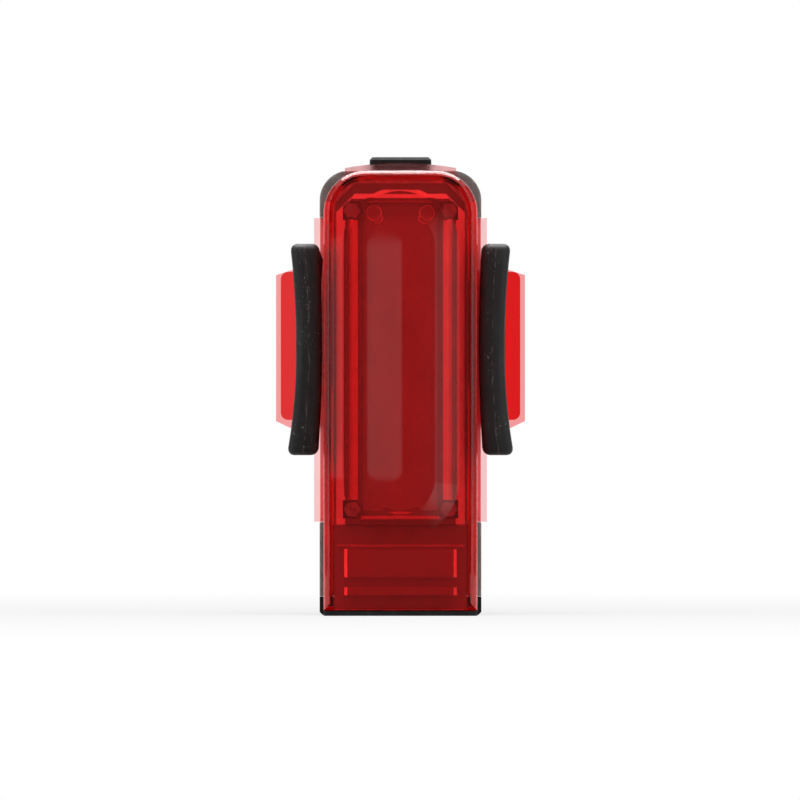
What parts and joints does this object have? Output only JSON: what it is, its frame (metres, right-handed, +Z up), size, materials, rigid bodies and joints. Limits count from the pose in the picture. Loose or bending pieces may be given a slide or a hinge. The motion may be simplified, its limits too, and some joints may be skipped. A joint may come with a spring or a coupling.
{
  "type": "bicycle tail light",
  "caption": "Upright bicycle tail light with a clear red lens, top button, pull-off foot over a USB plug and a rubber strap that hooks round a seatpost.",
  "frame": {"origin": "middle of the light's outline on the surface that it stands on", "axes": "+Z up along the light and the seatpost, -Y the way the lens faces, +X to the right seen from in front of the lens"},
  "size_m": [0.0404, 0.0516, 0.0742],
  "materials": {
    "red_lens": "polished clear red polycarbonate",
    "housing_plastic": "satin smoke grey moulding",
    "tray_plastic": "satin light grey moulding",
    "diffuser_plastic": "frosted panel",
    "screw_steel": "blackened steel",
    "board_laminate": "green solder mask",
    "led_package": "white package with a pale phosphor",
    "chip_resin": "black resin",
    "inductor_ferrite": "grey ferrite",
    "plug_steel": "plated steel",
    "plug_insulator": "white plastic",
    "contact_gold": "gold plated",
    "battery_foil": "laminated foil pouch",
    "foam": "closed cell foam",
    "tab_nickel": "nickel strip",
    "silicone": "soft silicone",
    "pad_rubber": "matte rubber",
    "strap_rubber": "matte rubber with a mould seam",
    "cap_rubber": "satin black rubber",
    "button_rubber": "satin black rubber"
  },
  "bodies": {
    "root": {"lens_cover": "red_lens", "lens_gasket": "silicone", "rear_housing": "housing_plastic", "reflector_tray": "tray_plastic", "diffuser_panel": "diffuser_plastic", "tray_screws": "screw_steel", "circuit_board": "board_laminate", "led_row": "led_package", "control_chips": "chip_resin", "power_inductor": "inductor_ferrite", "plug_shell": "plug_steel", "plug_tongue": "plug_insulator", "plug_contacts": "contact_gold", "usb_carrier": "tray_plastic", "battery_cell": "battery_foil", "battery_foam": "foam", "rear_foam": "foam", "battery_tabs": "tab_nickel", "button_collar": "silicone", "switch_body": "chip_resin", "saddle_pad": "pad_rubber", "strap_fixed_end": "strap_rubber"},
    "button": {"power_button": "button_rubber", "switch_plunger": "plug_insulator"},
    "cap": {"end_cap": "cap_rubber", "cap_seal_ring": "silicone"},
    "strap_end": {"strap_free_end": "strap_rubber"}
  },
  "joints": [
    {"name": "button_press", "type": "slide", "parent": "root", "child": "button", "axis": [0, 0, -1], "range_m": [0, 0.0006], "stiffness_N_per_m": 2500},
    {"name": "cap_pull", "type": "slide", "parent": "root", "child": "cap", "axis": [0, 0, -1], "range_m": [0, 0.014]},
    {"name": "strap_release", "type": "hinge", "parent": "root", "child": "strap_end", "pos_m": [0.0153, 0.0042, 0.0457], "axis": [0, 0, 1], "range_deg": [0, 70]}
  ]
}
